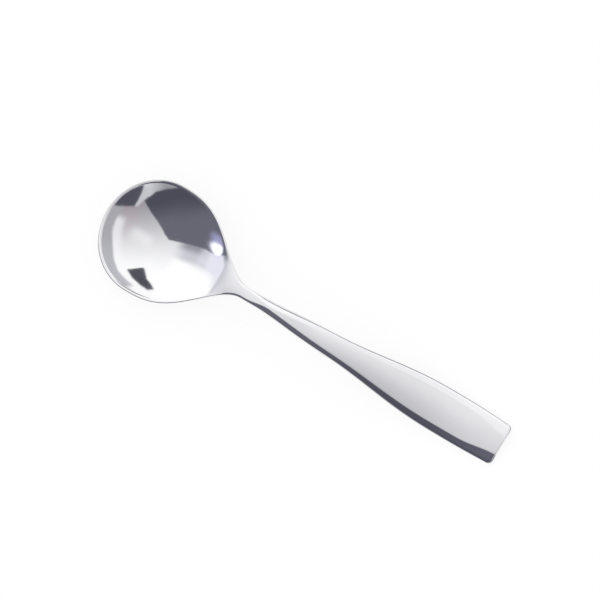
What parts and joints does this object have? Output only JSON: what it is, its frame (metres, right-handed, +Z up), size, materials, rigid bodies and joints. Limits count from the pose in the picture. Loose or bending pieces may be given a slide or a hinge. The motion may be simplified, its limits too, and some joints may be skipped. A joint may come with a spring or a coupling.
{
  "type": "soup spoon",
  "caption": "One-piece soup spoon with a round, deep bowl, a slim rounded neck and a handle that widens to a square-cut end.",
  "frame": {"origin": "under the middle of the spoon, at the centre of the bottom of its box, on the surface it lies on", "axes": "+X from the bowl to the end of the handle, +Y across the spoon, +Z up out of the bowl"},
  "size_m": [0.175, 0.0458, 0.0184],
  "materials": {
    "steel": "polished stainless steel, close to a mirror, with faint polishing lines"
  },
  "bodies": {
    "root": {"spoon": "steel"}
  },
  "joints": []
}
